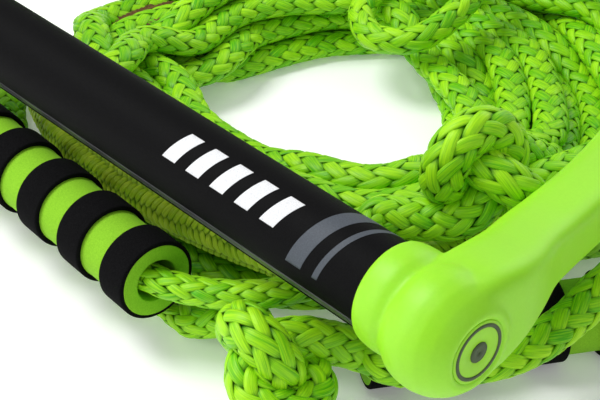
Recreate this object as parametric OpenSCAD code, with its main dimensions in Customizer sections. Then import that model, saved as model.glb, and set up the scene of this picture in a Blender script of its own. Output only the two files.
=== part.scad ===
// Tow rope handle: a bar with moulded end caps on a rope bridle, hinged in the loop
// of a coiled tow rope that carries two foam floats, two knots and a bungee stretch.
// X runs along the bar, Y from the bar to the bridle's eye, Z up from the floor.

/* [Bar] */
// Length of the grip that shows between the two caps
grip_length = 239; // [200:1:280]
// Diameter of the foam grip
grip_diameter = 27; // [26:0.5:28]
// Diameter of the metal tube in the grip
tube_diameter = 22; // [20:0.5:24]
// Height of the bar's axis above the floor
bar_height = 52; // [52:1:60]

/* [End caps] */
// Length of a cap, from the rim of its collar to its flat end
cap_length = 32.5; // [31:0.5:38]
// Diameter of a cap at its widest
cap_diameter = 36; // [32:1:37]
// Width of a moulded arm where it leaves its cap
arm_width = 18; // [15:0.5:20]

/* [Rope] */
// Diameter of the braided rope
rope_diameter = 10; // [9:0.5:10]
// Diameter of the bungee's braided cover
bungee_diameter = 15; // [13:0.5:15]
// Height of the coil
coil_height = 38; // [34:1:38]
// Diameter of a knot
knot_diameter = 31; // [28:1:32]

/* [Floats] */
// Diameter of a float over its raised bands
float_diameter = 26; // [24:0.5:26]
// Number of raised bands on a float
float_bands = 7; // [5:1:7]
// Width of one band, and of the groove next to it
band_width = 12; // [10:1:12]
// Diameter of the hole that the rope runs through
float_bore = 13.6; // [12.6:0.2:15]

/* [Hidden] */
$fn = 64;

lime = [0.55, 0.86, 0.16];
rope_lime = [0.50, 0.85, 0.12];
foam_green = [0.50, 0.76, 0.14];
black = [0.09, 0.09, 0.10];
grey = [0.62, 0.64, 0.66];
tie_brown = [0.45, 0.33, 0.22];

// Bar and caps, measured from the middle of the bar
collar_rim = grip_length / 2;
collar_width = 11;
collar_r = grip_diameter / 2 + 1.2;
cap_r = cap_diameter / 2;
cap_end = collar_rim + cap_length;
body_drop = 1.5;
sleeve_tuck = 3;
tube_end = collar_rim + 4.5;
tube_wall = 1.5;
plug_length = 16;
seam_depth = 0.9;
seam_from = 198;
seam_sweep = 20;
badge_r = 9.5;
badge_depth = 1.2;

// Arm stations from cap to rope: [x, y, heading from +Y towards the middle, width]
arm_stations = [
    [138, 5, 3, arm_width + 6],
    [138.3, 17, 5, arm_width + 6],
    [136.4, 28, 7, arm_width + 2.5],
    [132.2, 40, 8, arm_width + 0.5],
    [129.8, 51, 9, arm_width],
    [124.5, 80, 13, arm_width],
    [111.5, 118, 28, arm_width - 1],
    [92, 150, 38, arm_width - 4],
];
arm_sides = 24;
section_rounding = 3.5;

// Bridle, hinged in the tow line's loop at the eye's centre
eye_centre = [0, 250, bar_height];
eye_mean_r = 12;
eye_cord_r = 4;
yoke_back = 206;
yoke_front = 232;
nose_end = eye_centre[1] - 10;
bridle_half = [
    [-124, 0], [-133, 3], [-138, 12], [-136, 30], [-131.5, 54], [-126, 80],
    [-112, 118], [-92, 150], [-56, 184], [-18, 210], [-6, 222],
];

// Floats: where each one starts, and the way its axis runs
float_r = float_diameter / 2;
core_r = float_r - 1.2;
float_length = (2 * float_bands - 1) * band_width;
left_start = [44, -21.5, 23.5];
left_run = [-0.998, 0.058, -0.012];
right_start = [97.3, 11.9, 13];
right_run = [0.496, 0.868, 0];

// Origin: under the middle of the handle and floats, without the free rope
right_tip = right_start[0] + right_run[0] * float_length + right_run[1] * float_r;
pile_centre_x = (right_tip - cap_end) / 2;
front_reach = left_start[1] - float_r;
back_reach = eye_centre[1] + eye_mean_r + eye_cord_r;
pile_centre_y = (front_reach + back_reach) / 2;

// Rope that isn't coiled: each route is the rope's centre line
rope_r = rope_diameter / 2;
cover_wall = 2.1;
core_gap = 0.3;
splice_r = 7.5;
float_rope_left_route = [
    [92, 48, 50], [88, 28, 44], [88, 8, 28], [66, -7, 25], [44, -21.5, 23.5],
    [14, -20, 23.1], [-26, -17.5, 22.7], [-66, -15, 22.2], [-106, -13, 21.7], [-146, -10.5, 21.2],
    [-166, -7, 20], [-183, 5, 16], [-188, 24, 10], [-176, 40, 6], [-154, 46, 5], [-124, 48, 7],
];
front_rope_route = [
    [-118, 40, 7], [-100, 20, 5], [-76, 6, 5], [-44, 0, 5], [-12, -6, 5], [20, -10, 5],
    [50, -12, 6], [74, -11, 12],
];
float_rope_right_route = [
    [98, -1, 19], [116, 3, 23], [131, 17, 23], [138, 34, 23], [140, 52, 26], [140, 68, 31],
    [140, 86, 33], [140, 104, 31], [141, 124, 23], [147, 150, 9], [157, 180, 5], [170, 204, 5],
    [188, 216, 6], [204, 208, 9], [205, 194, 12], [192, 177.5, 13], [174, 146, 13],
    [156, 114.5, 13], [138, 83, 13], [120, 51.5, 13], [102, 20, 13], [94, 2, 14],
];
knot_tail_route = [[104, 70, 50], [106, 88, 47], [99, 108, 42], [88, 124, 34]];
bungee_route = [
    [-100, 37, 20], [-70, 18, 20], [-38, 8, 20], [3, 7, 20], [45, 15, 20], [74, 25, 21],
    [92, 42, 24], [99, 62, 27], [100, 88, 27], [104, 116, 24], [100, 144, 21], [84, 164, 20],
];
loop_tilt = 36;
loop_r = 20;
loop_arc = [for (a = [-90 : 30 : 90]) [loop_r * sin(a), loop_r * (1 - cos(a))]];
loop_leg = [[16, 40], [9, 56], [5.4, 72]];
line_splice_route = [[0, 302, 14], [-1, 318, 8.5], [-4, 334, 7.5]];
line_lead_route = [
    [-4, 334, 6], [-14, 350, 5], [-36, 356, 5], [-58, 344, 5], [-70, 318, 5], [-74, 286, 5],
    [-70, 252, 5], [-62, 222, 6], [-56, 194, 10],
];
tow_eye_route = [
    [-22, 194, 34], [-34, 176, 34], [-40, 154, 31], [-34, 137, 26], [-20, 130, 24],
    [-6, 138, 26], [-4, 156, 31], [-10, 176, 34], [-17, 194, 34],
];
eye_splice_route = [[-20, 190, 30], [-34, 193, 26], [-50, 184, 22], [-62, 166, 18]];

// Coil: outlines of the wound turns, outside and inside
coil_outer = [
    [-132, 46], [-118, 33], [-70, 27], [-38, 17], [3, 16.5], [51, 26], [82, 42], [89, 60],
    [90, 90], [96, 130], [76, 168], [37, 196], [-10, 206], [-55, 202], [-90, 170], [-104, 122],
    [-110, 88], [-128, 64],
];
coil_inner = [
    [-40, 52], [48, 52], [66, 68], [52, 96], [-15, 144], [-50, 142], [-66, 126], [-62, 88],
];
outline_rounding = 6;
strap_middle = -90;
strap_width = 13;
strap_thickness = 1.4;
strap_span = [27, 102];

function unit(v) = v / norm(v);
function heading(p, i) = unit(p[min(i + 1, len(p) - 1)] - p[max(i - 1, 0)]);
function ring(p, i, r, sides) =
    let (t = heading(p, i), a = unit(cross(t, [0, 0, 1])), b = cross(a, t))
    [for (k = [0 : sides - 1]) p[i] + r * (cos(360 * k / sides) * a + sin(360 * k / sides) * b)];
function wall(first, rings, sides, inside) = [
    for (i = [0 : rings - 2], k = [0 : sides - 1])
        let (a = first + i * sides + k, b = first + i * sides + (k + 1) % sides)
        inside ? [a, a + sides, b + sides, b] : [a, b, b + sides, a + sides]
];
function washer(outer, inner, sides, last) = [
    for (k = [0 : sides - 1])
        let (n = (k + 1) % sides)
        last ? [outer + k, outer + n, inner + n, inner + k] : [outer + k, inner + k, inner + n, outer + n]
];

// A closed skin over a list of rings
module skin(points, sides) {
    count = len(points);
    polyhedron(
        points = points,
        faces = concat(
            [[for (k = [sides - 1 : -1 : 0]) k]],
            wall(0, count / sides, sides, false),
            [[for (k = [0 : sides - 1]) count - sides + k]]
        )
    );
}

// A cord along a route, solid or with a bore
module cord(route, r, sides = 10, bore = 0) {
    rings = len(route);
    outside = [for (i = [0 : rings - 1]) each ring(route, i, r, sides)];
    count = len(outside);
    if (bore == 0)
        skin(outside, sides);
    else
        polyhedron(
            points = concat(outside, [for (i = [0 : rings - 1]) each ring(route, i, bore, sides)]),
            faces = concat(
                wall(0, rings, sides, false),
                wall(count, rings, sides, true),
                washer(0, count, sides, false),
                washer(count - sides, 2 * count - sides, sides, true)
            )
        );
}

// Moves a piece from the bar's frame to the whole object's origin
module placed() translate([-pile_centre_x, -pile_centre_y, 0]) children();

// Moves a piece onto the bar's axis, with its Z along the bar
module along_bar() translate([0, 0, bar_height]) rotate([0, 90, 0]) children();

module at_side(side) mirror([side < 0 ? 1 : 0, 0, 0]) children();

module bar_tube()
    placed() color(grey) along_bar()
        difference() {
            cylinder(d = tube_diameter, h = 2 * tube_end, center = true);
            cylinder(d = tube_diameter - 2 * tube_wall, h = 3 * tube_end, center = true);
        }

// The strip sits in a shallow groove along the front of the grip, low down
module seam_sector(inner, outer, half_length)
    rotate([0, 0, seam_from])
        translate([0, 0, -half_length])
            rotate_extrude(angle = seam_sweep)
                translate([inner, 0]) square([outer - inner, 2 * half_length]);

module grip_sleeve()
    placed() color(black) along_bar()
        difference() {
            cylinder(d = grip_diameter, h = 2 * (collar_rim + sleeve_tuck), center = true);
            cylinder(d = tube_diameter, h = 3 * collar_rim, center = true);
            rotate([0, 0, 90]) seam_sector(grip_diameter / 2 - seam_depth, grip_diameter, collar_rim);
        }

module grip_seam_strip()
    placed() color([0.35, 0.36, 0.38]) along_bar()
        rotate([0, 0, 90])
            seam_sector(grip_diameter / 2 - seam_depth, grip_diameter / 2, collar_rim);

module tube_plug(side)
    placed() color(black) at_side(side) along_bar()
        translate([0, 0, tube_end - plug_length])
            difference() {
                cylinder(d = tube_diameter - 2 * tube_wall, h = plug_length);
                translate([0, 0, -1]) cylinder(r = rope_r + 0.2, h = plug_length + 2);
            }

// Half outlines of a cap's collar and body: [radius, distance from the collar's rim]
module collar_outline()
    polygon([
        [0, 0], [collar_r - 1, 0], [collar_r, 1], [collar_r, collar_width - 1.2],
        [collar_r - 0.8, collar_width], [collar_r - 0.8, collar_width + 2], [0, collar_width + 2],
    ]);

module body_outline()
    polygon([
        [0, collar_width - 1], [collar_r - 3, collar_width - 1], [collar_r - 1, collar_width],
        [cap_r - 1.8, collar_width + 2], [cap_r - 0.6, collar_width + 4], [cap_r, collar_width + 7],
        [cap_r, cap_length - 11], [cap_r - 1, cap_length - 7], [cap_r - 2.8, cap_length - 3.5],
        [cap_r - 5, cap_length - 1], [cap_r - 6.4, cap_length], [0, cap_length],
    ]);

// A cap's body and badge sit a little below the bar's axis
module below_axis() translate([body_drop, 0, 0]) children();

module end_cap(side)
    placed() color(lime) at_side(side) along_bar()
        difference() {
            union() {
                translate([0, 0, collar_rim]) rotate_extrude() collar_outline();
                below_axis() translate([0, 0, collar_rim]) rotate_extrude() body_outline();
            }
            cylinder(d = tube_diameter, h = 2 * tube_end, center = true);
            cylinder(d = grip_diameter, h = 2 * (collar_rim + sleeve_tuck), center = true);
            below_axis() translate([0, 0, cap_end - badge_depth]) cylinder(r = badge_r, h = 5);
        }

// A square section with round corners, as one ring of an arm
function soft_square(c) = sign(c) * sqrt(abs(c));
function arm_ring(station) = [
    for (k = [0 : arm_sides - 1])
        let (across = station[3] / 2 * soft_square(cos(360 * k / arm_sides)))
        [
            station[0] + across * cos(station[2]),
            station[1] + across * sin(station[2]),
            bar_height + station[3] / 2 * soft_square(sin(360 * k / arm_sides)),
        ]
];

// The arm starts inside its cap, is moulded over the bridle's rope and ends around it
module arm(side)
    placed() color(lime) at_side(side)
        skin([for (station = arm_stations) each arm_ring(station)], arm_sides);

// A plain ring-and-dot disc in the cap's flat end
module end_badge(side)
    placed() color([0.25, 0.32, 0.18]) at_side(side) along_bar()
        below_axis() translate([0, 0, cap_end - badge_depth])
            difference() {
                cylinder(r = badge_r, h = badge_depth);
                translate([0, 0, badge_depth - 0.4])
                    difference() {
                        cylinder(r = badge_r - 1.8, h = 1);
                        translate([0, 0, -1]) cylinder(r = badge_r - 4, h = 3);
                    }
            }

// One rope runs from the yoke through one arm, the bar and the other arm, and back
module bridle_rope()
    placed() color(rope_lime)
        cord(
            concat(
                [for (i = [len(bridle_half) - 1 : -1 : 0]) [each bridle_half[i], bar_height]],
                [for (p = bridle_half) [-p[0], p[1], bar_height]]
            ),
            rope_r
        );

module eye_ring()
    translate(eye_centre) rotate([0, 90, 0])
        rotate_extrude() translate([eye_mean_r, 0]) circle(r = eye_cord_r, $fn = 32);

module yoke_section(station)
    translate([station[0], station[1], bar_height])
        rotate([0, 0, station[2]])
            rotate([90, 0, 0])
                linear_extrude(0.2, center = true)
                    offset(section_rounding, $fn = 32)
                        square(station[3] - 2 * section_rounding, center = true);

// Moulded block that clamps the two ends of the bridle and the foot of its eye
module yoke()
    placed() color(lime)
        difference() {
            union() {
                hull()
                    for (side = [-1, 1])
                        at_side(side) {
                            yoke_section([21, yoke_back, 50, 17]);
                            yoke_section([4, yoke_front, 0, 13]);
                        }
                translate([0, yoke_front - 2, bar_height]) rotate([-90, 0, 0])
                    cylinder(r = 6.4, h = nose_end - yoke_front + 2);
            }
            eye_ring();
        }

module bridle_eye()
    placed() color(rope_lime) eye_ring();

module along(run) rotate([0, acos(run[2]), atan2(run[1], run[0])]) children();

module float_core(start, run)
    placed() color(foam_green) translate(start) along(run)
        difference() {
            cylinder(r = core_r, h = float_length);
            translate([0, 0, -1]) cylinder(d = float_bore, h = float_length + 2);
        }

module float_band_set(start, run)
    placed() color(black) translate(start) along(run)
        for (i = [0 : float_bands - 1])
            translate([0, 0, 2 * i * band_width])
                difference() {
                    cylinder(r = float_r, h = band_width);
                    translate([0, 0, -1]) cylinder(r = core_r, h = band_width + 2);
                }

module strap_ring()
    translate([strap_middle - strap_width / 2, strap_span[0], 0])
        difference() {
            cube([strap_width, strap_span[1] - strap_span[0], coil_height + strap_thickness]);
            translate([-1, strap_thickness, strap_thickness])
                cube([
                    strap_width + 2,
                    strap_span[1] - strap_span[0] - 2 * strap_thickness,
                    coil_height - strap_thickness,
                ]);
        }

module rounded_outline(points)
    offset(outline_rounding, $fn = 32) offset(delta = -outline_rounding) polygon(points);

// The outer shape of the wound rope, with its open middle
module rope_coil()
    placed() color(rope_lime)
        difference() {
            linear_extrude(coil_height)
                difference() {
                    rounded_outline(coil_outer);
                    rounded_outline(coil_inner);
                }
            strap_ring();
        }

module coil_strap()
    placed() color(tie_brown) strap_ring();

module knot(centre, tilt)
    placed() color(rope_lime) translate(centre) rotate([0, 0, tilt])
        hull()
            for (side = [-1, 1])
                translate([side * 2.5, 0, 0]) sphere(d = knot_diameter, $fn = 24);

module rope(route) placed() color(rope_lime) cord(route, rope_r);

module splice(route) placed() color(rope_lime) cord(route, splice_r);

module bungee_cover()
    placed() color(rope_lime)
        cord(bungee_route, bungee_diameter / 2, bore = bungee_diameter / 2 - cover_wall);

module bungee_core()
    placed() color(black)
        cord(bungee_route, bungee_diameter / 2 - cover_wall - core_gap);

// The rope loop that the bridle's eye hangs in, in a plane that slopes to the floor
module line_loop() {
    legs = concat(loop_arc, loop_leg);
    flat = concat(
        [for (i = [len(loop_leg) - 1 : -1 : 0]) [-loop_leg[i][0], loop_leg[i][1]]],
        legs
    );
    rope([for (p = flat) eye_centre + [p[0], p[1] * cos(loop_tilt), -p[1] * sin(loop_tilt)]]);
}

bar_tube();
grip_sleeve();
grip_seam_strip();
tube_plug(-1);  // tube_plug_left
tube_plug(1);  // tube_plug_right
end_cap(-1);  // end_cap_left
end_cap(1);  // end_cap_right
arm(-1);  // arm_left
arm(1);  // arm_right
end_badge(-1);  // end_badge_left
end_badge(1);  // end_badge_right
bridle_rope();
yoke();
bridle_eye();
float_core(left_start, left_run);  // float_left_core
float_band_set(left_start, left_run);  // float_left_bands
float_core(right_start, right_run);  // float_right_core
float_band_set(right_start, right_run);  // float_right_bands
rope_coil();
coil_strap();
knot([99, 60, 54.5], 60);  // knot_1
knot([88, -10, 16], 20);  // knot_2
bungee_cover();
bungee_core();
rope(float_rope_left_route);  // float_rope_left
rope(front_rope_route);  // front_rope
rope(float_rope_right_route);  // float_rope_right
rope(knot_tail_route);  // knot_tail
line_loop();
splice(line_splice_route);  // line_splice
rope(line_lead_route);  // line_lead
rope(tow_eye_route);  // tow_eye
splice(eye_splice_route);  // eye_splice
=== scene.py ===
"""Tow rope handle on its coiled rope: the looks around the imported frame."""
import math

import bmesh
import bpy
import numpy as np
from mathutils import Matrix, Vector


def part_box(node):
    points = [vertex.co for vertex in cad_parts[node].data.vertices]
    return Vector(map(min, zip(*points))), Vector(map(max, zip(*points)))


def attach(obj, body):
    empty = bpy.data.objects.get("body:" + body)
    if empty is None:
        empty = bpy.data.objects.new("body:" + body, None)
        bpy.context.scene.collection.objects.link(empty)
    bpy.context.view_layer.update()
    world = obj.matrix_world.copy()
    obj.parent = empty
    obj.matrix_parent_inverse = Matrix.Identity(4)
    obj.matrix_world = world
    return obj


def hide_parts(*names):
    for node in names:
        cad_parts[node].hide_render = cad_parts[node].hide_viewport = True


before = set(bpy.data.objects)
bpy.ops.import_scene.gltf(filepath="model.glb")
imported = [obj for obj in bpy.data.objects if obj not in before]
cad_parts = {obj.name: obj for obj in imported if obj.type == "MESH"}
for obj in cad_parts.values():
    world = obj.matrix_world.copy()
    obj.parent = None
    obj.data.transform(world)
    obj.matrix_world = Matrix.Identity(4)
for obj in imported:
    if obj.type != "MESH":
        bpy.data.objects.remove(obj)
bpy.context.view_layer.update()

# ---------------------------------------------------------------- driving values
MM = 0.001
STEP = 0.0009  # spacing of a braid's rings
ROPE_R = 0.0052
FLAT = 1.20  # a hollow braid lies wider than it is high
SPLICE_R = 0.0072
BRIDLE_R = 0.0049
GRIP_R = 0.0135
TIP = 0.005  # how far from its end a cut rope starts to narrow

bar_low, bar_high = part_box("bar_tube")
BAR = (bar_low + bar_high) / 2  # the middle of the bar, on its axis
PILE = np.array([BAR.x, BAR.y, 0.0])  # the floor below it: routes are measured from here
BAR_Z = round(BAR.z, 4)


def at(points):
    """Points measured from the floor below the bar's middle, as points of the shared frame."""
    return np.array(points, float) + PILE


# ---------------------------------------------------------------- paths
def resample(line, step):
    """A polyline's points at even steps along it."""
    line = np.asarray(line, float)
    gaps = np.linalg.norm(np.diff(line, axis=0), axis=1)
    along = np.concatenate([[0.0], np.cumsum(gaps)])
    count = max(8, int(round(along[-1] / step)) + 1)
    want = np.linspace(0.0, along[-1], count)
    return np.stack([np.interp(want, along, line[:, k]) for k in range(3)], axis=1)


def smooth(points, step, softness=2.2):
    """A smooth curve through the points (Catmull-Rom), at even steps."""
    p = np.asarray(points, float)
    p = np.concatenate([[2 * p[0] - p[1]], p, [2 * p[-1] - p[-2]]])
    knots = np.concatenate([[0.0], np.cumsum(np.sqrt(np.linalg.norm(np.diff(p, axis=0), axis=1)) + 1e-9)])
    curve = []
    for i in range(1, len(p) - 2):
        t0, t1, t2, t3 = knots[i - 1 : i + 3]
        t = np.linspace(t1, t2, 24, endpoint=False)[:, None]
        a1 = (t1 - t) / (t1 - t0) * p[i - 1] + (t - t0) / (t1 - t0) * p[i]
        a2 = (t2 - t) / (t2 - t1) * p[i] + (t - t1) / (t2 - t1) * p[i + 1]
        a3 = (t3 - t) / (t3 - t2) * p[i + 1] + (t - t2) / (t3 - t2) * p[i + 2]
        b1 = (t2 - t) / (t2 - t0) * a1 + (t - t0) / (t2 - t0) * a2
        b2 = (t3 - t) / (t3 - t1) * a2 + (t - t1) / (t3 - t1) * a3
        curve.append((t2 - t) / (t2 - t1) * b1 + (t - t1) / (t2 - t1) * b2)
    curve = np.concatenate(curve + [p[-2][None]])
    line = resample(curve, step)
    return soften(line, int(softness * MM / step))


def soften(line, reach):
    """The line with each point moved to the mean of its neighbours within reach."""
    if reach < 1:
        return line
    kernel = np.hanning(2 * reach + 3)[1:-1]
    kernel /= kernel.sum()
    ends = [2 * line[0] - line[reach:0:-1], line, 2 * line[-1] - line[-2 : -reach - 2 : -1]]
    padded = np.concatenate(ends)
    return np.stack([np.convolve(padded[:, k], kernel, mode="valid") for k in range(3)], axis=1)


def length_of(line):
    return float(np.linalg.norm(np.diff(line, axis=0), axis=1).sum())


def unit(v):
    return v / np.maximum(np.linalg.norm(v, axis=-1, keepdims=True), 1e-12)


def upright_frames(line):
    """Tangent, level side and upper side at each point of a line that is never vertical."""
    t = unit(np.gradient(line, axis=0))
    side = unit(np.cross(t, [0.0, 0.0, 1.0]))
    return t, side, np.cross(side, t)


def carried_frames(line, first=(0.0, 0.0, 1.0)):
    """Tangent and two sides that turn with the line and never twist about it."""
    t = unit(np.gradient(line, axis=0))
    up = np.empty_like(line)
    n = np.array(first, float)
    for i in range(len(line)):
        n = n - t[i] * (n @ t[i])
        n /= np.linalg.norm(n)
        up[i] = n
    return t, np.cross(t, up), up


# ---------------------------------------------------------------- mesh helpers
def new_object(name, mesh, skin=None):
    obj = bpy.data.objects.new(name, mesh)
    bpy.context.scene.collection.objects.link(obj)
    if skin:
        mesh.materials.append(skin)
    return obj


def mesh_from(name, verts, quads, uv=None, tone=None, lift=None):
    """A smooth mesh of quads from arrays, with UVs per corner and a tone and a lift per vertex; the yarn
    material turns a low lift into painted shade.
    """
    mesh = bpy.data.meshes.new(name)
    mesh.vertices.add(len(verts))
    mesh.vertices.foreach_set("co", np.asarray(verts, np.float32).ravel())
    mesh.loops.add(quads.size)
    mesh.loops.foreach_set("vertex_index", quads.astype(np.int32).ravel())
    mesh.polygons.add(len(quads))
    mesh.polygons.foreach_set("loop_start", np.arange(0, quads.size, 4, dtype=np.int32))
    mesh.polygons.foreach_set("use_smooth", np.ones(len(quads), bool))
    if uv is not None:
        layer = mesh.uv_layers.new(name="UVMap")
        layer.data.foreach_set("uv", uv.astype(np.float32).ravel())
    mesh.update(calc_edges=True)
    for label, values in (("tone", tone), ("lift", lift)):
        if values is not None:
            attribute = mesh.attributes.new(label, "FLOAT", "POINT")
            attribute.data.foreach_set("value", values.astype(np.float32))
    mesh.validate()
    return mesh


def grid_quads(rows, columns, first=0, closed=True):
    """Quads of a grid of rows by columns of vertices, and each quad's row and column; closed joins
    the last column to the first."""
    span = columns if closed else columns - 1
    r, c = np.meshgrid(np.arange(rows - 1), np.arange(span), indexing="ij")
    n = (c + 1) % columns
    here, beyond = r * columns, (r + 1) * columns
    quads = np.stack([here + c, here + n, beyond + n, beyond + c], axis=-1)
    return quads.reshape(-1, 4) + first, r.ravel(), c.ravel()


# ---------------------------------------------------------------- braided rope
def braid(name, line, radius, skin, yarns=16, pitch=0.066, flat=1.0, seed=0,
          frames=None, fullness=1.0, thickness=0.26, cross=10, size=None, start=0.0, tips=(True, True)):
    """A hollow braid along a line: half of the yarns wind one way and half the other, each over
    two and under two. flat widens it level and thins it upright; size scales it along its length;
    thickness is the braid's wall as a share of the radius; cross is the points around one yarn; start
    is the length of rope before this piece; tips says which of its ends are melted shut."""
    rng = np.random.default_rng(seed)
    t, side, up = frames if frames else upright_frames(line)
    rings = len(line)
    s = start + np.concatenate([[0.0], np.cumsum(np.linalg.norm(np.diff(line, axis=0), axis=1))])
    size = np.ones(rings) if size is None else size
    for closed, from_end in zip(tips, (s - s[0], s[-1] - s)):
        if closed:
            size = size * np.sqrt(np.clip(from_end / TIP, 0.01, 1))
    flat = np.broadcast_to(flat, (rings,))[:, None]
    half = yarns // 2
    # The yarns' middle, half a yarn's thickness, and how far a yarn rises and dips at a crossing
    middle = radius * (1 - 0.5 * thickness)
    half_thick = 0.31 * thickness * radius
    lift = 0.40 * thickness * radius
    slope = 2 * math.pi * middle / pitch
    lean = math.atan(slope)
    half_wide = 0.5 * (2 * math.pi * middle / half) * math.cos(lean) * 1.12 * fullness
    level = s / (pitch / yarns)
    phase = rng.uniform(0, 2 * math.pi)
    wander = (0.05 * np.sin(2 * math.pi * s / 0.061 + rng.uniform(0, 6))
              + 0.04 * np.sin(2 * math.pi * s / 0.023 + rng.uniform(0, 6)))
    around = 2 * math.pi * np.arange(cross) / cross
    cos_a, sin_a = np.cos(around), np.sin(around)
    across = np.sign(cos_a) * np.abs(cos_a) ** 0.85
    thick = np.sign(sin_a) * np.abs(sin_a) ** 0.75
    verts, quads, uvs, tones, painted_shade_lifts = [], [], [], [], []
    for hand in (1, -1):
        for i in range(half):
            turn = phase + 2 * math.pi * i / half + hand * 2 * math.pi * s / pitch
            if hand > 0:
                over = np.cos(math.pi / 2 * (level + 2 * i - 0.5))
            else:
                over = np.cos(math.pi / 2 * (-level + 2 * i - 2.5))
            over = np.tanh(1.5 * over) / math.tanh(1.5)
            stray = rng.uniform(0, 6, 3)
            wide = half_wide * (1 + 0.07 * over + 0.06 * np.sin(2 * math.pi * s / 0.031 + stray[0]))
            high = lift * over * (1 + 0.12 * np.sin(2 * math.pi * s / 0.043 + stray[1]))
            turn = turn + 0.035 * np.sin(2 * math.pi * s / 0.037 + stray[2])
            r = (middle + high)[:, None] + half_thick * thick[None, :] * (1 + 0.15 * over)[:, None]
            angle = (turn + wander)[:, None] + (wide[:, None] * across[None, :]) * math.cos(lean) / middle
            shift = -hand * wide[:, None] * across[None, :] * math.sin(lean)
            r = r * size[:, None]
            ring = (side[:, None, :] * (np.cos(angle) * r * flat)[..., None]
                    + up[:, None, :] * (np.sin(angle) * r / flat)[..., None])
            points = line[:, None, :] + t[:, None, :] * shift[..., None] + ring
            first = len(verts) * rings * cross
            q, row, col = grid_quads(rings, cross, first)
            verts.append(points.reshape(-1, 3))
            quads.append(q[:, ::-1])
            u0, u1 = col / cross, (col + 1) / cross
            v0, v1 = s[row] / 0.01, s[np.minimum(row + 1, rings - 1)] / 0.01
            offset = 3.7 * (i + half * (hand > 0)) + 11.0 * (seed % 7)
            corner = np.stack([
                np.stack([u0, v1 + offset], -1), np.stack([u1, v1 + offset], -1),
                np.stack([u1, v0 + offset], -1), np.stack([u0, v0 + offset], -1)], axis=1)
            uvs.append(corner)
            tones.append(np.full(rings * cross, rng.uniform(0, 1)))
            # How high each point of a yarn stands: low where it dips under another yarn, on its inner face
            # and at its edges. The yarn material paints shade where it is low
            painted_shade_lift = over[:, None] + 0.9 * thick[None, :] - 0.25 * across[None, :] ** 4
            painted_shade_lifts.append((painted_shade_lift / 1.9).ravel())
    mesh = mesh_from(name, np.concatenate(verts), np.concatenate(quads), np.concatenate(uvs),
                     np.concatenate(tones), np.concatenate(painted_shade_lifts))
    return new_object(name, mesh, skin)


# ---------------------------------------------------------------- materials
def material(name, colour, roughness):
    m = bpy.data.materials.new(name)
    m.use_nodes = True
    shader = m.node_tree.nodes["Principled BSDF"]
    shader.inputs["Base Color"].default_value = (*colour, 1)
    shader.inputs["Roughness"].default_value = roughness
    return m, m.node_tree.nodes, m.node_tree.links, shader


def yarn_material(name, deep, bright, roughness=0.42):
    """Fine polypropylene filaments: streaks along each yarn, yarn-to-yarn tone, a soft sheen, and painted
    shade where a yarn lies low.
    """
    m, nodes, links, shader = material(name, bright, roughness)
    uv = nodes.new("ShaderNodeUVMap")
    stretch = nodes.new("ShaderNodeMapping")
    stretch.inputs["Scale"].default_value = (34, 1.4, 1)
    links.new(uv.outputs["UV"], stretch.inputs["Vector"])
    streak = nodes.new("ShaderNodeTexNoise")
    streak.inputs["Scale"].default_value = 1.0
    streak.inputs["Detail"].default_value = 3.0
    links.new(stretch.outputs["Vector"], streak.inputs["Vector"])
    tone = nodes.new("ShaderNodeAttribute")
    tone.attribute_name = "tone"
    blend = nodes.new("ShaderNodeMath")
    blend.operation = "MULTIPLY_ADD"
    blend.inputs[1].default_value = 0.30
    links.new(tone.outputs["Fac"], blend.inputs[0])
    links.new(streak.outputs["Fac"], blend.inputs[2])
    ramp = nodes.new("ShaderNodeValToRGB")
    ramp.color_ramp.elements[0].position = 0.38
    ramp.color_ramp.elements[0].color = (*deep, 1)
    ramp.color_ramp.elements[1].position = 0.85
    ramp.color_ramp.elements[1].color = (*bright, 1)
    links.new(blend.outputs[0], ramp.inputs["Fac"])
    # Painted shade: where the lift is low, in the dips and at the edges of the yarns, the colour is
    # multiplied down to deep green
    lift = nodes.new("ShaderNodeAttribute")
    lift.attribute_name = "lift"
    shade = nodes.new("ShaderNodeValToRGB")
    shade.color_ramp.elements[0].position = 0.0
    shade.color_ramp.elements[0].color = (0.01, 0.20, 0.005, 1)
    shade.color_ramp.elements[1].position = 0.72
    shade.color_ramp.elements[1].color = (1, 1, 1, 1)
    links.new(lift.outputs["Fac"], shade.inputs["Fac"])
    painted_shade_mix = nodes.new("ShaderNodeMix")
    painted_shade_mix.data_type = "RGBA"
    painted_shade_mix.blend_type = "MULTIPLY"
    painted_shade_mix.inputs[0].default_value = 1.0
    links.new(ramp.outputs["Color"], painted_shade_mix.inputs[6])
    links.new(shade.outputs["Color"], painted_shade_mix.inputs[7])
    links.new(painted_shade_mix.outputs[2], shader.inputs["Base Color"])
    bump = nodes.new("ShaderNodeBump")
    bump.inputs["Strength"].default_value = 0.55
    bump.inputs["Distance"].default_value = 0.00025
    links.new(streak.outputs["Fac"], bump.inputs["Height"])
    links.new(bump.outputs["Normal"], shader.inputs["Normal"])
    shader.inputs["Specular IOR Level"].default_value = 0.24
    shader.inputs["Sheen Weight"].default_value = 0.03
    shader.inputs["Sheen Roughness"].default_value = 0.4
    shader.inputs["Sheen Tint"].default_value = (0.85, 1.0, 0.45, 1)
    return m


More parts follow.
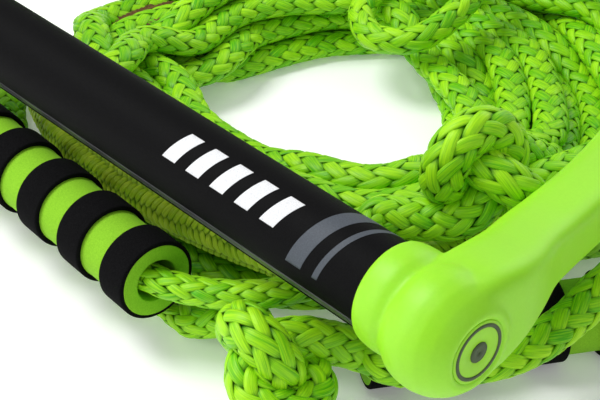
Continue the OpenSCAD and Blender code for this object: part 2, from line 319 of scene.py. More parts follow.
def grain_material(name, colour, other, roughness, scale, bump_m, spread=(0.35, 0.7), specular=0.4,
                   subsurface=0.0):
    """A solid material with a fine grain in its colour and its surface, in object space."""
    m, nodes, links, shader = material(name, colour, roughness)
    where = nodes.new("ShaderNodeTexCoord")
    noise = nodes.new("ShaderNodeTexNoise")
    noise.inputs["Scale"].default_value = scale
    noise.inputs["Detail"].default_value = 4.0
    noise.inputs["Roughness"].default_value = 0.65
    links.new(where.outputs["Object"], noise.inputs["Vector"])
    ramp = nodes.new("ShaderNodeValToRGB")
    ramp.color_ramp.elements[0].position = spread[0]
    ramp.color_ramp.elements[0].color = (*other, 1)
    ramp.color_ramp.elements[1].position = spread[1]
    ramp.color_ramp.elements[1].color = (*colour, 1)
    links.new(noise.outputs["Fac"], ramp.inputs["Fac"])
    links.new(ramp.outputs["Color"], shader.inputs["Base Color"])
    bump = nodes.new("ShaderNodeBump")
    bump.inputs["Strength"].default_value = 0.6
    bump.inputs["Distance"].default_value = bump_m
    links.new(noise.outputs["Fac"], bump.inputs["Height"])
    links.new(bump.outputs["Normal"], shader.inputs["Normal"])
    shader.inputs["Specular IOR Level"].default_value = specular
    if subsurface:
        shader.inputs["Subsurface Weight"].default_value = subsurface
        shader.inputs["Subsurface Scale"].default_value = 0.004
        shader.inputs["Subsurface Radius"].default_value = (0.5, 1.0, 0.2)
    return m


rope_yarn = yarn_material("rope_yarn", (0.07, 0.42, 0.0005), (0.41, 0.82, 0.010))
bungee_yarn = yarn_material("bungee_yarn", (0.28, 0.54, 0.004), (0.68, 0.90, 0.05))
cap_silicone = grain_material("cap_silicone", (0.33, 0.77, 0.018), (0.31, 0.745, 0.015), 0.46, 900, 0.00003,
                              subsurface=0.25)
grip_foam = grain_material("grip_foam", (0.0010, 0.0010, 0.0011), (0.004, 0.004, 0.0045), 0.6, 2600,
                           0.00012, specular=0.06)
foam_black = grain_material("foam_black", (0.002, 0.002, 0.0023), (0.007, 0.007, 0.0075), 0.9, 2200,
                            0.00015, specular=0.04)
foam_green = grain_material("foam_green", (0.28, 0.60, 0.025), (0.20, 0.48, 0.015), 0.85, 2200, 0.00015,
                            specular=0.2)
tie_knit = grain_material("tie_knit", (0.20, 0.11, 0.03), (0.10, 0.055, 0.015), 0.9, 1500, 0.0002)
latex = grain_material("latex", (0.62, 0.50, 0.30), (0.55, 0.43, 0.25), 0.6, 700, 0.00003)
seam_gloss = grain_material("seam_gloss", (0.05, 0.05, 0.06), (0.04, 0.04, 0.045), 0.28, 500, 0.00002)
badge_ink = grain_material("badge_ink", (0.035, 0.06, 0.02), (0.05, 0.09, 0.02), 0.5, 900, 0.00002)
metal = grain_material("tube_metal", (0.62, 0.63, 0.65), (0.55, 0.56, 0.58), 0.35, 900, 0.00002)
metal.node_tree.nodes["Principled BSDF"].inputs["Metallic"].default_value = 1.0

# ---------------------------------------------------------------- camera, light and floor
CAMERA_AT = at([[0.3634, -0.2512, 0.320]])[0]
DOWN = math.radians(34.36)
camera_data = bpy.data.cameras.new("camera")
camera_data.lens = 99.0
camera_data.sensor_width = 36.0
camera_data.clip_start = 0.01
camera = bpy.data.objects.new("camera", camera_data)
bpy.context.scene.collection.objects.link(camera)
camera.location = CAMERA_AT
looking = Vector((-0.744 * math.cos(DOWN), 0.668 * math.cos(DOWN), -math.sin(DOWN)))
camera.rotation_euler = looking.to_track_quat("-Z", "Y").to_euler()
bpy.context.scene.camera = camera


def area_light(name, place, size, power):
    """A square softbox that points at the origin."""
    data = bpy.data.lights.new(name, "AREA")
    data.energy = power
    data.size = size
    lamp = bpy.data.objects.new(name, data)
    bpy.context.scene.collection.objects.link(lamp)
    lamp.location = place
    lamp.rotation_euler = (-Vector(place)).to_track_quat("-Z", "Y").to_euler()


area_light("key_light", (-0.7, -0.5, 1.3), 0.7, 17)
area_light("low_light", (-0.5, -1.2, 0.55), 0.8, 6)
area_light("fill_light", (1.3, -0.2, 0.9), 1.2, 3)
area_light("back_light", (-0.3, 1.4, 1.0), 1.0, 8)
world = bpy.data.worlds.new("studio")
world.use_nodes = True
world.node_tree.nodes["Background"].inputs["Color"].default_value = (1, 1, 1, 1)
world.node_tree.nodes["Background"].inputs["Strength"].default_value = 0.33
bpy.context.scene.world = world
bpy.context.scene.view_settings.view_transform = "Standard"

floor_mesh = bpy.data.meshes.new("floor")
floor_mesh.from_pydata([(-3, -3, 0), (3, -3, 0), (3, 3, 0), (-3, 3, 0)], [], [(0, 1, 2, 3)])
floor_material, _, _, floor_shader = material("floor_white", (0.95, 0.95, 0.95), 0.9)
floor_shader.inputs["Emission Color"].default_value = (1, 1, 1, 1)
floor_shader.inputs["Emission Strength"].default_value = 0.16
floor = new_object("floor", floor_mesh, floor_material)

# ---------------------------------------------------------------- free rope
# From the coil, round the left float's far end, through the float and under the bar to knot 1
UPPER_ROPE = [
    (-0.124, 0.048, 0.007), (-0.154, 0.046, 0.005), (-0.176, 0.040, 0.006), (-0.188, 0.024, 0.010),
    (-0.183, 0.005, 0.016), (-0.166, -0.007, 0.020), (-0.146, -0.0105, 0.0212),
    (-0.106, -0.013, 0.0217), (-0.066, -0.015, 0.0222), (-0.026, -0.0175, 0.0227),
    (0.014, -0.020, 0.0231), (0.044, -0.0215, 0.0235), (0.068, -0.008, 0.025), (0.081, 0.008, 0.029),
    (0.083, 0.022, 0.036),
]
UPPER_TAIL = [(0.081, 0.101, 0.034), (0.080, 0.114, 0.024), (0.072, 0.126, 0.016)]
# From the coil along the front to knot 2
FRONT_ROPE = [
    (-0.118, 0.040, 0.007), (-0.100, 0.020, 0.005), (-0.076, 0.006, 0.005), (-0.044, 0.0, 0.005),
    (-0.012, -0.006, 0.005), (0.020, -0.010, 0.005), (0.050, -0.012, 0.006),
]
FRONT_TAIL = [(0.115, 0.0035, 0.0225), (0.124, 0.009, 0.023)]
# From knot 2 over the right float, round its far end and back through it
RIGHT_ROPE = [
    (0.118, 0.005, 0.0225), (0.131, 0.017, 0.023), (0.138, 0.034, 0.023), (0.140, 0.052, 0.026),
    (0.140, 0.068, 0.031), (0.140, 0.086, 0.033), (0.140, 0.104, 0.031), (0.141, 0.124, 0.023),
    (0.147, 0.150, 0.009), (0.157, 0.180, 0.005), (0.170, 0.204, 0.005), (0.188, 0.216, 0.006),
    (0.204, 0.208, 0.009), (0.205, 0.194, 0.012), (0.192, 0.1775, 0.013), (0.174, 0.146, 0.013),
    (0.156, 0.1145, 0.013), (0.138, 0.083, 0.013), (0.120, 0.0515, 0.013), (0.102, 0.020, 0.013),
    (0.094, 0.002, 0.014),
]
BUNGEE = [
    (-0.100, 0.037, 0.020), (-0.070, 0.018, 0.020), (-0.038, 0.008, 0.020), (0.003, 0.007, 0.020),
    (0.045, 0.015, 0.020), (0.074, 0.025, 0.021), (0.092, 0.042, 0.024), (0.099, 0.062, 0.027),
    (0.100, 0.088, 0.027), (0.104, 0.116, 0.024), (0.100, 0.144, 0.021), (0.084, 0.164, 0.020),
]
LINE_SPLICE = [(0.0, 0.302, 0.014), (-0.001, 0.318, 0.0085), (-0.004, 0.334, 0.0075)]
LINE_LEAD = [
    (-0.004, 0.334, 0.006), (-0.014, 0.350, 0.005), (-0.036, 0.356, 0.005), (-0.058, 0.344, 0.005),
    (-0.070, 0.318, 0.005), (-0.074, 0.286, 0.005), (-0.070, 0.252, 0.005), (-0.062, 0.222, 0.006),
    (-0.056, 0.194, 0.010),
]
TOW_EYE = [
    (-0.022, 0.194, 0.034), (-0.034, 0.176, 0.034), (-0.040, 0.154, 0.031), (-0.034, 0.137, 0.026),
    (-0.020, 0.130, 0.024), (-0.006, 0.138, 0.026), (-0.004, 0.156, 0.031), (-0.010, 0.176, 0.034),
    (-0.017, 0.194, 0.034),
]
EYE_SPLICE = [
    (-0.020, 0.190, 0.030), (-0.034, 0.193, 0.026), (-0.050, 0.184, 0.022), (-0.062, 0.166, 0.018),
]
BRIDLE = [(0.098, 0.142), (0.092, 0.150), (0.056, 0.184), (0.018, 0.210), (0.006, 0.222)]


def declare_rope(piece, nodes):
    """A rope's mesh put under the root, in place of its CAD nodes, which are hidden."""
    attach(piece, "root")
    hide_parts(*nodes)


# ---------------------------------------------------------------- knots
DRAW_ROUNDS, REST_ROUNDS = 300, 60


def pushed_apart(p, i, j, gap, ease):
    """The points with the pairs i, j that lie nearer than gap moved apart."""
    apart = p[i] - p[j]
    distance = np.linalg.norm(apart, axis=1)
    hit = distance < gap
    push, hits = np.zeros_like(p), np.zeros(len(p))
    move = (0.5 * (gap - distance[hit]) / np.maximum(distance[hit], 1e-9))[:, None] * apart[hit]
    np.add.at(push, i[hit], move)
    np.add.at(push, j[hit], -move)
    np.add.at(hits, i[hit], 1)
    np.add.at(hits, j[hit], 1)
    return p + push / np.maximum(1, ease * hits)[:, None]


def evened(p, rest, pull, bend):
    """The points drawn towards their spacing at rest and towards the middle of their neighbours."""
    along = np.diff(p, axis=0)
    stretch = np.linalg.norm(along, axis=1)
    move = (pull * (stretch - rest) / stretch)[:, None] * along
    p[:-1] += move
    p[1:] -= move
    p[1:-1] += bend * ((p[:-2] + p[2:]) / 2 - p[1:-1])
    return p


def overhand(entry, exit, centre, roll, gap, length, count=84):
    """The centreline of an overhand knot between two points, drawn tight down to its length with
    no two stretches of rope nearer than gap."""
    entry, exit, centre = (at([p])[0] for p in (entry, exit, centre))
    x = unit(exit - entry)
    y = unit(np.cross([0.0, 0.0, 1.0], x))
    z = np.cross(x, y)
    c, s = math.cos(math.radians(roll)), math.sin(math.radians(roll))
    y, z = c * y + s * z, c * z - s * y
    t = np.linspace(math.pi - 0.25, 3 * math.pi + 0.25, 70)
    loop = 0.010 * np.stack([
        np.sin(t) + 2 * np.sin(2 * t), np.cos(t) - 2 * np.cos(2 * t) + 1.2, -np.sin(3 * t)], axis=1)
    loop[:12, 2] += 0.006 * np.linspace(1, 0, 12)
    loop[-12:, 2] -= 0.006 * np.linspace(0, 1, 12)
    p = centre + loop[:, :1] * x + loop[:, 1:2] * y + loop[:, 2:] * z
    p = resample(np.concatenate([[entry], p, [exit]]), length_of(p) / count)[:count]
    count = len(p)
    rest = length_of(p) / (count - 1)
    i, j = np.triu_indices(count, 1)
    shrink = (length / (count - 1) / rest) ** (1 / DRAW_ROUNDS)
    for turn in range(DRAW_ROUNDS + REST_ROUNDS):
        if turn < DRAW_ROUNDS:
            rest *= shrink
        near = (j - i) * rest > 1.55 * gap
        for _ in range(6):
            p = evened(pushed_apart(p, i[near], j[near], gap, 0.5), rest, 0.35, 0.12)
            p[:, 2] = np.maximum(p[:, 2], 0.005)
            p[0], p[-1] = entry, exit
    return p


def through(*parts):
    """Routes and knots joined end to end as one smooth centreline."""
    return soften(resample(np.concatenate(parts), STEP), int(round(0.003 / STEP)))


knot_one = overhand(
    (0.082, 0.032, 0.042), (0.079, 0.090, 0.041), (0.087, 0.045, 0.046), 135, 0.0108, 0.204)
knot_two = overhand(
    (0.064, -0.004, 0.013), (0.108, 0.004, 0.0215), (0.089, -0.005, 0.019), 160, 0.0098, 0.176)


def knotted(name, before, knot, after, nodes, seed):
    """A rope with a knot in it, flat where it lies, round and swollen in the knot; nodes holds the
    CAD nodes of each piece that it is made in. Returns its centreline."""
    line = through(before, knot, after)
    s = np.linspace(0, length_of(line), len(line))
    start = length_of(before)
    stop = start + length_of(knot)
    inside = np.clip((s - start) / 0.012, 0, 1) * np.clip((stop - s) / 0.012, 0, 1)
    flat, size = FLAT + (1.04 - FLAT) * inside, 1 + 0.24 * inside
    frames = carried_frames(line)
    cuts = np.linspace(0, len(line) - 1, len(nodes) + 1).astype(int)
    for n, cad_nodes in enumerate(nodes):
        part = slice(cuts[n], cuts[n + 1] + 1)
        piece = braid(f"{name}_{n + 1}", line[part], ROPE_R, rope_yarn, yarns=20, pitch=0.072, seed=seed,
                      frames=[f[part] for f in frames], flat=flat[part], size=size[part], start=s[cuts[n]],
                      tips=(n == 0, n == len(nodes) - 1))
        declare_rope(piece, cad_nodes)
    return line


upper_line = knotted(
    "float_rope_left_braid", smooth(at(UPPER_ROPE), STEP), knot_one, smooth(at(UPPER_TAIL), STEP),
    [["float_rope_left"], ["float_rope_left", "knot_1", "knot_tail"]], 2)
front_line = knotted(
    "front_rope_braid", smooth(at(FRONT_ROPE), STEP), knot_two, smooth(at(FRONT_TAIL), STEP),
    [["front_rope", "knot_2"]], 3)
right_line = smooth(at(RIGHT_ROPE), STEP)
declare_rope(braid("float_rope_right_braid", right_line, ROPE_R, rope_yarn, seed=4, flat=FLAT),
             ["float_rope_right"])

# ---------------------------------------------------------------- coil
# Each station is a place around the coil: [x, y] at its inner and at its outer edge
STATIONS = np.array([
    [-0.040, 0.052, -0.074, 0.032], [-0.012, 0.051, -0.028, 0.022], [0.020, 0.050, 0.018, 0.021],
    [0.048, 0.053, 0.056, 0.030], [0.064, 0.065, 0.086, 0.049], [0.066, 0.077, 0.091, 0.080],
    [0.050, 0.095, 0.103, 0.132], [0.026, 0.115, 0.096, 0.180], [0.002, 0.136, 0.062, 0.214],
    [-0.022, 0.150, 0.002, 0.226], [-0.050, 0.146, -0.056, 0.214], [-0.066, 0.131, -0.084, 0.160],
    [-0.070, 0.110, -0.098, 0.118], [-0.064, 0.088, -0.104, 0.088], [-0.058, 0.070, -0.120, 0.062],
    [-0.052, 0.058, -0.108, 0.040],
])
TURNS = 12
SQUAT = 1.30  # how much nearer two turns can lie one on the other than side by side


def coil_line():
    """The wound rope as one line: round the stations, in and out, and up a layer each way."""
    stations = len(STATIONS)
    k = np.arange(TURNS * stations + 3)
    turn = k / stations
    sweep = turn / 2.3
    wave = 1 - np.abs((sweep % 2) - 1)
    w = 0.93 - 0.81 * wave
    z = 0.005 + 0.0060 * np.clip(np.floor(sweep) + np.clip((sweep % 1 - 0.85) / 0.15, 0, 1), 0, 4)
    rng = np.random.default_rng(11)
    w = np.clip(w + 0.05 * rng.standard_normal(len(k)), 0.04, 1)
    w[-4:] = (0.5, 0.7, 0.85, 0.95)
    s = STATIONS[k % stations]
    xy = s[:, :2] + w[:, None] * (s[:, 2:] - s[:, :2])
    return np.column_stack([xy, z])


def ball_row(points, radius):
    """Balls along a polyline, as obstacles: [x, y, z, radius]."""
    points = resample(points, 0.004)
    return np.column_stack([points, np.full(len(points), radius)])


def settle(line, obstacles, gap=0.0125, spacing=0.005, rounds=260):
    """The line packed down: no point nearer than gap to another turn, none inside an obstacle."""
    p = resample(line, spacing) * [1, 1, SQUAT]
    obstacles = obstacles * [1, 1, SQUAT, 1]
    home = p.copy()
    count = len(p)
    rest = length_of(p) / (count - 1)
    r = gap / 2
    for turn in range(rounds):
        if turn % 8 == 0:
            apart = np.linalg.norm(p[:, None, :] - p[None, :, :], axis=2)
            i, j = np.nonzero(np.triu(apart < 1.7 * gap, 4))
            far = np.linalg.norm(p[:, None, :] - obstacles[None, :, :3], axis=2)
            a, b = np.nonzero(far < obstacles[:, 3] + 0.012)
        p[:, 2] -= 0.00015
        p += 0.02 * (home - p) * [1, 1, 0]
        for _ in range(3):
            p = pushed_apart(p, i, j, gap, 0.6)
            apart = p[a] - obstacles[b, :3]
            distance = np.linalg.norm(apart, axis=1)
            deep = obstacles[b, 3] + r - distance
            hit = deep > 0
            push, hits = np.zeros_like(p), np.zeros(count)
            np.add.at(push, a[hit], (deep[hit] / distance[hit])[:, None] * apart[hit])
            np.add.at(hits, a[hit], 1)
            p += push / np.maximum(1, hits)[:, None]
            p = evened(p, rest, 0.2, 0.10)
            p[:, 2] = np.clip(p[:, 2], 0.0045 * SQUAT, 0.0340 * SQUAT)
    return p / [1, 1, SQUAT]


bungee_line = smooth(at(BUNGEE), STEP)
obstacles = np.concatenate([
    ball_row(bungee_line[::8], 0.0072), ball_row(upper_line[::6], 0.0045), ball_row(front_line[::6], 0.0045),
    ball_row(at([(-0.118, 0, BAR_Z), (0.118, 0, BAR_Z)]), 0.0140),
    ball_row(at([(0.118, 0, BAR_Z), (0.148, 0, BAR_Z)]), 0.0165),
    ball_row(at([(-0.118, 0, BAR_Z), (-0.148, 0, BAR_Z)]), 0.0165),
    ball_row(at([(0.044, -0.0215, 0.0235), (-0.112, -0.0125, 0.0216)]), 0.0135),
    ball_row(at([(0.0973, 0.0119, 0.013), (0.1747, 0.1473, 0.013)]), 0.0135),
])
packed = settle(smooth(at(coil_line()), 0.005, 12), obstacles)
coil = soften(resample(packed, STEP), int(round(0.009 / STEP)))
COIL_PIECES = 10
cuts = np.linspace(0, len(coil) - 1, COIL_PIECES + 1).astype(int)
for n in range(COIL_PIECES):
    part = coil[cuts[n] : cuts[n + 1] + 1]
    declare_rope(braid(f"rope_coil_{n + 1}", part, ROPE_R, rope_yarn, seed=20, flat=FLAT, cross=8,
                       start=length_of(coil[: cuts[n] + 1]) if n else 0.0,
                       tips=(n == 0, n == COIL_PIECES - 1)),
                 ["rope_coil"])

# ---------------------------------------------------------------- bungee
declare_rope(braid("bungee_braid", bungee_line, 0.0073, bungee_yarn, yarns=16, pitch=0.019, seed=8,
                   thickness=0.24, fullness=0.92),
             ["bungee_cover"])

# ---------------------------------------------------------------- line behind the handle
eye = at([[0, 0.250, BAR_Z]])[0]
tilt = math.radians(36)
loop_shape = [(0.020 * math.sin(a), 0.020 * (1 - math.cos(a))) for a in np.radians(np.arange(-90, 91, 30))]
legs = [(0.016, 0.040), (0.009, 0.056), (0.0054, 0.072)]
loop_shape = [(-x, u) for x, u in legs[::-1]] + loop_shape + legs
loop_line = smooth([eye + [x, u * math.cos(tilt), -u * math.sin(tilt)] for x, u in loop_shape], STEP)
declare_rope(braid("line_loop_braid", loop_line, BRIDLE_R, rope_yarn, seed=9,
                   frames=carried_frames(loop_line)),
             ["line_loop"])


def splice(name, route, node, seed):
    """The thick stretch where a rope's tail is buried in itself."""
    piece = braid(name, smooth(at(route), STEP), SPLICE_R, rope_yarn, pitch=0.034, seed=seed)
    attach(piece, "root")
    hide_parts(node)
    return piece


line_splice = splice("line_splice_braid", LINE_SPLICE, "line_splice", 10)
lead_line = smooth(at(LINE_LEAD), STEP)
declare_rope(braid("line_lead_braid", lead_line, ROPE_R, rope_yarn, seed=12, flat=FLAT),
             ["line_lead"])
eye_splice = splice("eye_splice_braid", EYE_SPLICE, "eye_splice", 14)
tow_line = smooth(at(TOW_EYE), STEP)
declare_rope(braid("tow_eye_braid", tow_line, BRIDLE_R, rope_yarn, seed=13,
                   frames=carried_frames(tow_line)),
             ["tow_eye"])

# ---------------------------------------------------------------- bridle
for hand in (-1, 1):
    bridle = smooth(at([(hand * x, y, BAR_Z) for x, y in BRIDLE]), STEP)
    label = "left" if hand < 0 else "right"
    piece = braid(f"bridle_braid_{label}", bridle, BRIDLE_R, rope_yarn, seed=15 + hand)
    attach(piece, "handle")
    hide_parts("bridle_rope")
ring = np.radians(np.arange(-176, 177, 4))
eye_ring = np.array([eye + [0, -0.012 * math.cos(a), 0.012 * math.sin(a)] for a in ring])
eye_ring = smooth(eye_ring, STEP)
piece = braid("bridle_eye_braid", eye_ring, 0.0039, rope_yarn, seed=17, pitch=0.030,
              frames=carried_frames(eye_ring, (1.0, 0.0, 0.0)))
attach(piece, "handle")
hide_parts("bridle_eye")


# ---------------------------------------------------------------- turned and moulded pieces
def fillet(profile, radius, arc=5):
    """A 2D outline (closed) with its corners rounded."""
    points = np.asarray(profile, float)
    out = []
    for k in range(len(points)):
        before, here, after = points[k - 1], points[k], points[(k + 1) % len(points)]
        a, b = before - here, after - here
        reach = min(radius, 0.45 * np.linalg.norm(a), 0.45 * np.linalg.norm(b))
        p, q = here + unit(a) * reach, here + unit(b) * reach
        for s in np.linspace(0, 1, arc):
            out.append((1 - s) ** 2 * p + 2 * s * (1 - s) * here + s * s * q)
    return np.array(out)


def lathe(name, profile, start, run, skin, segments, wobble=0.0, seed=0):
    """A closed outline [along, radius] turned about an axis; every radius is above zero. wobble is
    how far it strays from round, as a share of the radius."""
    start, run = np.array(start, float), unit(np.array(run, float))
    side = unit(np.cross(run, [0.0, 0.0, 1.0]))
    up = np.cross(side, run)
    around = 2 * math.pi * np.arange(segments) / segments
    rng = np.random.default_rng(seed)
    swell = 1 + wobble * sum(np.sin(k * around + rng.uniform(0, 6)) / k for k in (2, 3, 5))
    ring = side * np.cos(around)[:, None] + up * np.sin(around)[:, None]
    profile = np.asarray(profile, float)
    verts = (start + profile[:, None, :1] * run + ring[None] * profile[:, None, 1:] * swell[None, :, None])
    rows = len(profile)
    quads = grid_quads(rows + 1, segments)[0]
    quads = np.where(quads >= rows * segments, quads - rows * segments, quads)
    mesh = mesh_from(name, verts.reshape(-1, 3), quads if turns_right(profile) else quads[:, ::-1])
    return new_object(name, mesh, skin)


def turns_right(profile):
    """Whether a closed outline runs clockwise, seen with its first axis to the right."""
    x, y = profile[:, 0], profile[:, 1]
    return float(np.sum(x * np.roll(y, -1) - np.roll(x, -1) * y)) <= 0


def baked(obj):
    """The object with its modifiers applied to its mesh."""
    evaluated = obj.evaluated_get(bpy.context.evaluated_depsgraph_get())
    mesh = bpy.data.meshes.new_from_object(evaluated)
    obj.modifiers.clear()
    obj.data = mesh
    mesh.polygons.foreach_set("use_smooth", np.ones(len(mesh.polygons), bool))
    return obj


def moulded(obj, passes=16):
    """The object's closed parts as one skin with soft edges, as rubber comes out of a mould."""
    remesh = obj.modifiers.new("one_skin", "REMESH")
    remesh.mode = "VOXEL"
    remesh.voxel_size = 0.0006
    softening = obj.modifiers.new("soft", "SMOOTH")
    softening.factor = 0.5
    softening.iterations = passes
    return baked(obj)


def joined(name, objects):
    """One object out of several."""
    mesh = bmesh.new()
    for obj in objects:
        mesh.from_mesh(obj.data)
        bpy.data.objects.remove(obj)
    data = bpy.data.meshes.new(name)
    mesh.to_mesh(data)
    mesh.free()
    return new_object(name, data)


# Rings of an arm: [x, y, heading in degrees, width, height, z]
ARM = np.array([
    [0.1390, -0.006, 0, 0.0205, 0.0300, 0.0505], [0.1394, 0.004, 2, 0.0224, 0.0326, 0.0508],
    [0.1393, 0.012, 3, 0.0228, 0.0316, 0.0515], [0.1388, 0.020, 5, 0.0232, 0.0270, 0.0527],
    [0.1368, 0.029, 7, 0.0222, 0.0220, 0.0532], [0.1330, 0.040, 8, 0.0206, 0.0188, 0.0528],
    [0.1305, 0.051, 9, 0.0202, 0.0178, 0.0520], [0.1250, 0.080, 13, 0.0196, 0.0174, 0.0520],
    [0.1115, 0.118, 28, 0.0176, 0.0162, 0.0520], [0.0920, 0.150, 38, 0.0144, 0.0142, 0.0520],
])
RIM, CAP_END, BODY_Z = 0.1195, 0.152, 0.0505
# Half outlines of a cap's collar and body: [along from the rim, radius]
COLLAR = [
    (0.0000, 0.0004), (0.0000, 0.0138), (0.0004, 0.0149), (0.0018, 0.0155), (0.0055, 0.0159),
    (0.0085, 0.0158), (0.0108, 0.0150), (0.0140, 0.0140), (0.0140, 0.0004),
]
CAP_BODY = [
    (0.0080, 0.0004), (0.0080, 0.0120), (0.0108, 0.0148), (0.0126, 0.0162), (0.0150, 0.0174),
    (0.0185, 0.0180), (0.0215, 0.0180), (0.0255, 0.0171), (0.0290, 0.0151), (0.0314, 0.0127),
    (0.0325, 0.0112), (0.0325, 0.0096), (0.0313, 0.0094), (0.0313, 0.0004),
]
# A badge is a disc in the cap's end, with a ring and a dot that stand off it a little
BADGE = (
    ("disc", [(0, 0.0002), (0, 0.0093), (0.0008, 0.0093), (0.0010, 0.0090), (0.0010, 0.0002)],
     cap_silicone),
    ("ring", [(0.0009, 0.0073), (0.0009, 0.0085), (0.00115, 0.0084), (0.00115, 0.0074)], badge_ink),
    ("dot", [(0.0009, 0.0002), (0.0009, 0.0031), (0.00115, 0.0030), (0.00115, 0.0002)], badge_ink),
)
BADGE_DEPTH = 0.0012


def arm_rings(hand, rows=60, sides=40, squareness=0.42):
    """An arm as a closed skin over closely spaced rings with round corners."""
    s = np.concatenate([[0], np.cumsum(np.linalg.norm(np.diff(ARM[:, :2], axis=0), axis=1))])
    want = np.linspace(0, s[-1], rows)
    centre = smooth(ARM[:, [0, 1, 5]], s[-1] / (rows - 0.999), 0)
    centre = resample(centre, length_of(centre) / (rows - 1))[:rows]
    heading = np.radians(np.interp(want, s, ARM[:, 2]))
    width = np.interp(want, s, ARM[:, 3])
    height = np.interp(want, s, ARM[:, 4])
    a = 2 * math.pi * np.arange(sides) / sides
    across = 0.5 * np.sign(np.cos(a)) * np.abs(np.cos(a)) ** squareness
    lift = 0.5 * np.sign(np.sin(a)) * np.abs(np.sin(a)) ** squareness
    x = centre[:, :1] + width[:, None] * across * np.cos(heading)[:, None]
    y = centre[:, 1:2] + width[:, None] * across * np.sin(heading)[:, None]
    z = centre[:, 2:] + height[:, None] * lift
    verts = at(np.stack([hand * x, y, z], axis=-1).reshape(-1, 3))
    first, last = list(range(sides)), list(range((rows - 1) * sides, rows * sides))
    faces = grid_quads(rows, sides)[0].tolist() + [first[::-1], last]
    if hand < 0:
        faces = [f[::-1] for f in faces]
    mesh = bpy.data.meshes.new("arm_skin")
    mesh.from_pydata(verts.tolist(), [], faces)
    return new_object("arm_skin", mesh)


for hand in (-1, 1):
    label = "left" if hand < 0 else "right"
    collar = lathe("collar_skin", COLLAR, at([(hand * RIM, 0, BAR_Z)])[0], (hand, 0, 0), None, 96)
    body = lathe("body_skin", CAP_BODY, at([(hand * RIM, 0, BODY_Z)])[0], (hand, 0, 0), None, 96)
    both = moulded(joined(f"cap_and_arm_{label}", [collar, body, arm_rings(hand)]))
    both.data.materials.append(cap_silicone)
    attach(both, "handle")
    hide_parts(f"end_cap_{label}", f"arm_{label}")
    face = at([(hand * (CAP_END - BADGE_DEPTH), 0, BODY_Z)])[0]
    for part, outline, skin in BADGE:
        mark = lathe(f"badge_{part}_{label}", outline, face, (hand, 0, 0), skin, 64)
        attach(mark, "handle")
        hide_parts(f"end_badge_{label}")

# ---------------------------------------------------------------- grip
def grip_patch(name, x0, x1, a0, a1, r, skin, slant=0.0, node="grip_sleeve",
               depth=0.0002, columns=24, rows=40):
    """A thin curved patch on the grip between two places along it and two angles about it."""
    x = np.linspace(0, 1, rows)[:, None]
    a = np.linspace(0, 1, columns)[None, :]
    angle = np.repeat(np.radians(a0 + (a1 - a0) * a), rows, axis=0)
    along = x0 + (x1 - x0) * x + slant * (a - 0.5)
    top, bottom = (
        at(np.stack([along, -radius * np.cos(angle), BAR_Z + radius * np.sin(angle)], -1).reshape(-1, 3))
        for radius in (r, r - depth))
    count = rows * columns
    quads = grid_quads(rows, columns, closed=False)[0]
    edge = np.concatenate([np.arange(columns), np.arange(1, rows) * columns + columns - 1,
                           (rows - 1) * columns + np.arange(columns - 2, -1, -1),
                           np.arange(rows - 2, 0, -1) * columns])
    beyond = np.roll(edge, -1)
    rim = np.stack([edge, edge + count, beyond + count, beyond], 1)
    faces = np.concatenate([quads, quads[:, ::-1] + count, rim])
    patch = new_object(name, mesh_from(name, np.concatenate([top, bottom]), faces), skin)
    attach(patch, "handle")
    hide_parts(node)


# The sleeve has a shallow groove low along its front, which the glossy strip lies in
SLEEVE_SIDES, SLEEVE_END, PRINT_R = 240, 0.1225, GRIP_R + 0.00005
around = np.linspace(0, 360, SLEEVE_SIDES, endpoint=False)
below = (around - 180) % 360
outline_r = np.full(SLEEVE_SIDES, GRIP_R)
outline_r[(below > 17) & (below < 39)] = GRIP_R - 0.0008
outline_r[(below > 39) & (below < 42)] = GRIP_R + 0.0002
around = np.radians(around)
inner_x = np.linspace(0.0003 - SLEEVE_END, SLEEVE_END - 0.0003, 90)
sleeve_x = np.concatenate([[-SLEEVE_END, -SLEEVE_END], inner_x, [SLEEVE_END, SLEEVE_END]])
ends = np.ones(len(sleeve_x))
ends[[0, -1]] = 0.82
grid = np.stack([
    np.repeat(sleeve_x[:, None], SLEEVE_SIDES, 1),
    ends[:, None] * outline_r * np.cos(around),
    BAR_Z + ends[:, None] * outline_r * np.sin(around),
], -1)
sleeve_quads = grid_quads(len(sleeve_x), SLEEVE_SIDES)[0]
sleeve_mesh = mesh_from("grip_sleeve_skin", at(grid.reshape(-1, 3)), sleeve_quads)
sleeve = new_object("grip_sleeve_skin", sleeve_mesh, grip_foam)
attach(sleeve, "handle")
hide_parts("grip_sleeve")
grip_patch("grip_seam_gloss", -0.1194, 0.1194, -19.5, -36.5, GRIP_R - 0.0001, seam_gloss,
           node="grip_seam_strip", depth=0.0006, columns=20, rows=60)
print_white = grain_material("print_white", (0.86, 0.87, 0.88), (0.66, 0.67, 0.69), 0.6, 2600, 0.0001)
print_grey = grain_material("print_grey", (0.075, 0.09, 0.11), (0.05, 0.06, 0.075), 0.6, 2600, 0.0001)
for n in range(5):
    x = 0.038 + 0.0108 * n
    grip_patch(f"print_bar_{n + 1}", x, x + 0.0058, 34, 78, PRINT_R, print_white, 0.004)
for name, x0, x1 in (("print_band", 0.0975, 0.1035), ("print_line", 0.1080, 0.1100)):
    grip_patch(name, x0, x1, 8, 150, PRINT_R, print_grey, 0.010, columns=60)

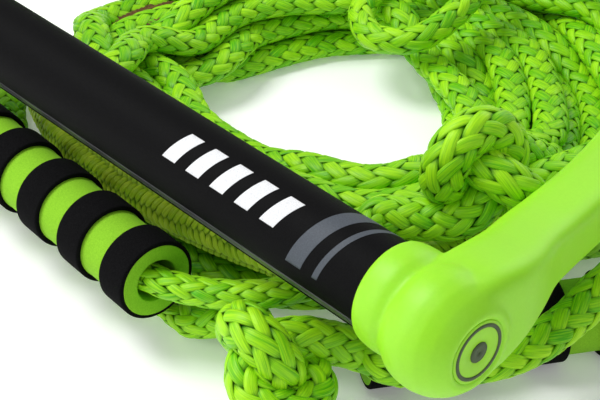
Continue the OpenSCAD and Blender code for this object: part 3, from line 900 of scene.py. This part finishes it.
# ---------------------------------------------------------------- floats
BANDS, BAND = 7, 0.012
CORE_R, GROOVE_R, FLOAT_R, BORE_R = 0.0118, 0.0112, 0.0130, 0.0068
FLOAT_LENGTH = (2 * BANDS - 1) * BAND
for label, start, run in (("left", (0.044, -0.0215, 0.0235), (-0.998, 0.058, -0.012)),
                          ("right", (0.0973, 0.0119, 0.013), (0.496, 0.868, 0.0))):
    start = at([start])[0]
    outline = [(0.0, BORE_R), (0.0, CORE_R)]
    for n in range(BANDS - 1):
        low, high = (2 * n + 1) * BAND, (2 * n + 2) * BAND
        outline += [(low - 0.0012, CORE_R), (low + 0.0003, GROOVE_R),
                    (high - 0.0003, GROOVE_R), (high + 0.0012, CORE_R)]
    outline += [(FLOAT_LENGTH, CORE_R), (FLOAT_LENGTH, BORE_R)]
    core = lathe(f"float_{label}_foam", fillet(outline, 0.0005, 4), start, run, foam_green, 160, 0.002, 3)
    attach(core, f"float_{label}")
    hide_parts(f"float_{label}_core")
    for n in range(BANDS):
        low, high = 2 * n * BAND + (0.0 if n else 0.0001), (2 * n + 1) * BAND
        ring = fillet([(low, 0.0113), (low, FLOAT_R), (high, FLOAT_R), (high, 0.0113)], 0.0016, 6)
        band = lathe(f"float_{label}_band_{n + 1}", ring, start, run, foam_black, 160, 0.003, 20 + n)
        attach(band, f"float_{label}")
        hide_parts(f"float_{label}_bands")


# ---------------------------------------------------------------- tie around the bundle
def knit_strap(name, x0, x1, outline, thick, skin, spacing=0.0005, ribs=6, columns=48):
    """A knitted strap around an outline in y and z, with rows of stitches standing off it."""
    path = fillet(outline, 0.006, 10)
    closed = np.concatenate([path, path[:1]])
    path = resample(np.column_stack([np.zeros(len(closed)), closed]), spacing)[:-1, 1:]
    count = len(path)
    t = unit(np.roll(path, -1, 0) - np.roll(path, 1, 0))
    normal = np.stack([t[:, 1], -t[:, 0]], 1)
    s = np.arange(count)[:, None] * spacing
    u = np.linspace(0, 1, columns)[None, :]
    rib = np.abs(np.sin(math.pi * ribs * u))
    lean = np.abs(((ribs * u) % 1) - 0.5)
    stitch = 0.5 + 0.5 * np.cos(2 * math.pi * (s / 0.0022 + 1.2 * lean))
    high = 0.00045 * rib + 0.0003 * stitch * rib
    x = np.repeat(x0 + (x1 - x0) * u, count, axis=0)[..., None]
    outer = path[:, None, :] + normal[:, None, :] * high[..., None]
    inner = np.repeat((path - normal * thick)[:, None, :], columns, axis=1)
    section = np.concatenate([outer, inner[:, ::-1]], axis=1)
    section = np.concatenate([np.concatenate([x, x[:, ::-1]], axis=1), section], axis=-1)
    around = 2 * columns
    quads = grid_quads(count, around)[0]
    wrap = grid_quads(2, around)[0]
    last = np.where(wrap < around, wrap + (count - 1) * around, wrap - around)
    mesh = mesh_from(name, at(section.reshape(-1, 3)), np.concatenate([quads, last]))
    strap = new_object(name, mesh, skin)
    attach(strap, "root")
    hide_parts("coil_strap")


knit_strap("coil_tie", -0.0965, -0.0835, [
    (0.028, 0.0004), (0.101, 0.0004), (0.101, 0.018), (0.092, 0.0240), (0.048, 0.0240), (0.029, 0.018),
], 0.0010, tie_knit)

# ---------------------------------------------------------------- yoke and hidden pieces
yoke_mesh = bpy.data.objects["yoke"].data.copy()
yoke_mesh.transform(bpy.data.objects["yoke"].matrix_world)
yoke_skin = new_object("yoke_block", yoke_mesh)
moulded(yoke_skin, 10)
yoke_skin.data.materials.clear()
yoke_skin.data.materials.append(cap_silicone)
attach(yoke_skin, "handle")
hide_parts("yoke")
for node, skin in (("bar_tube", metal), ("tube_plug_left", foam_black), ("tube_plug_right", foam_black),
                   ("bungee_core", latex)):
    part = bpy.data.objects[node]
    part.data.materials.clear()
    part.data.materials.append(skin)
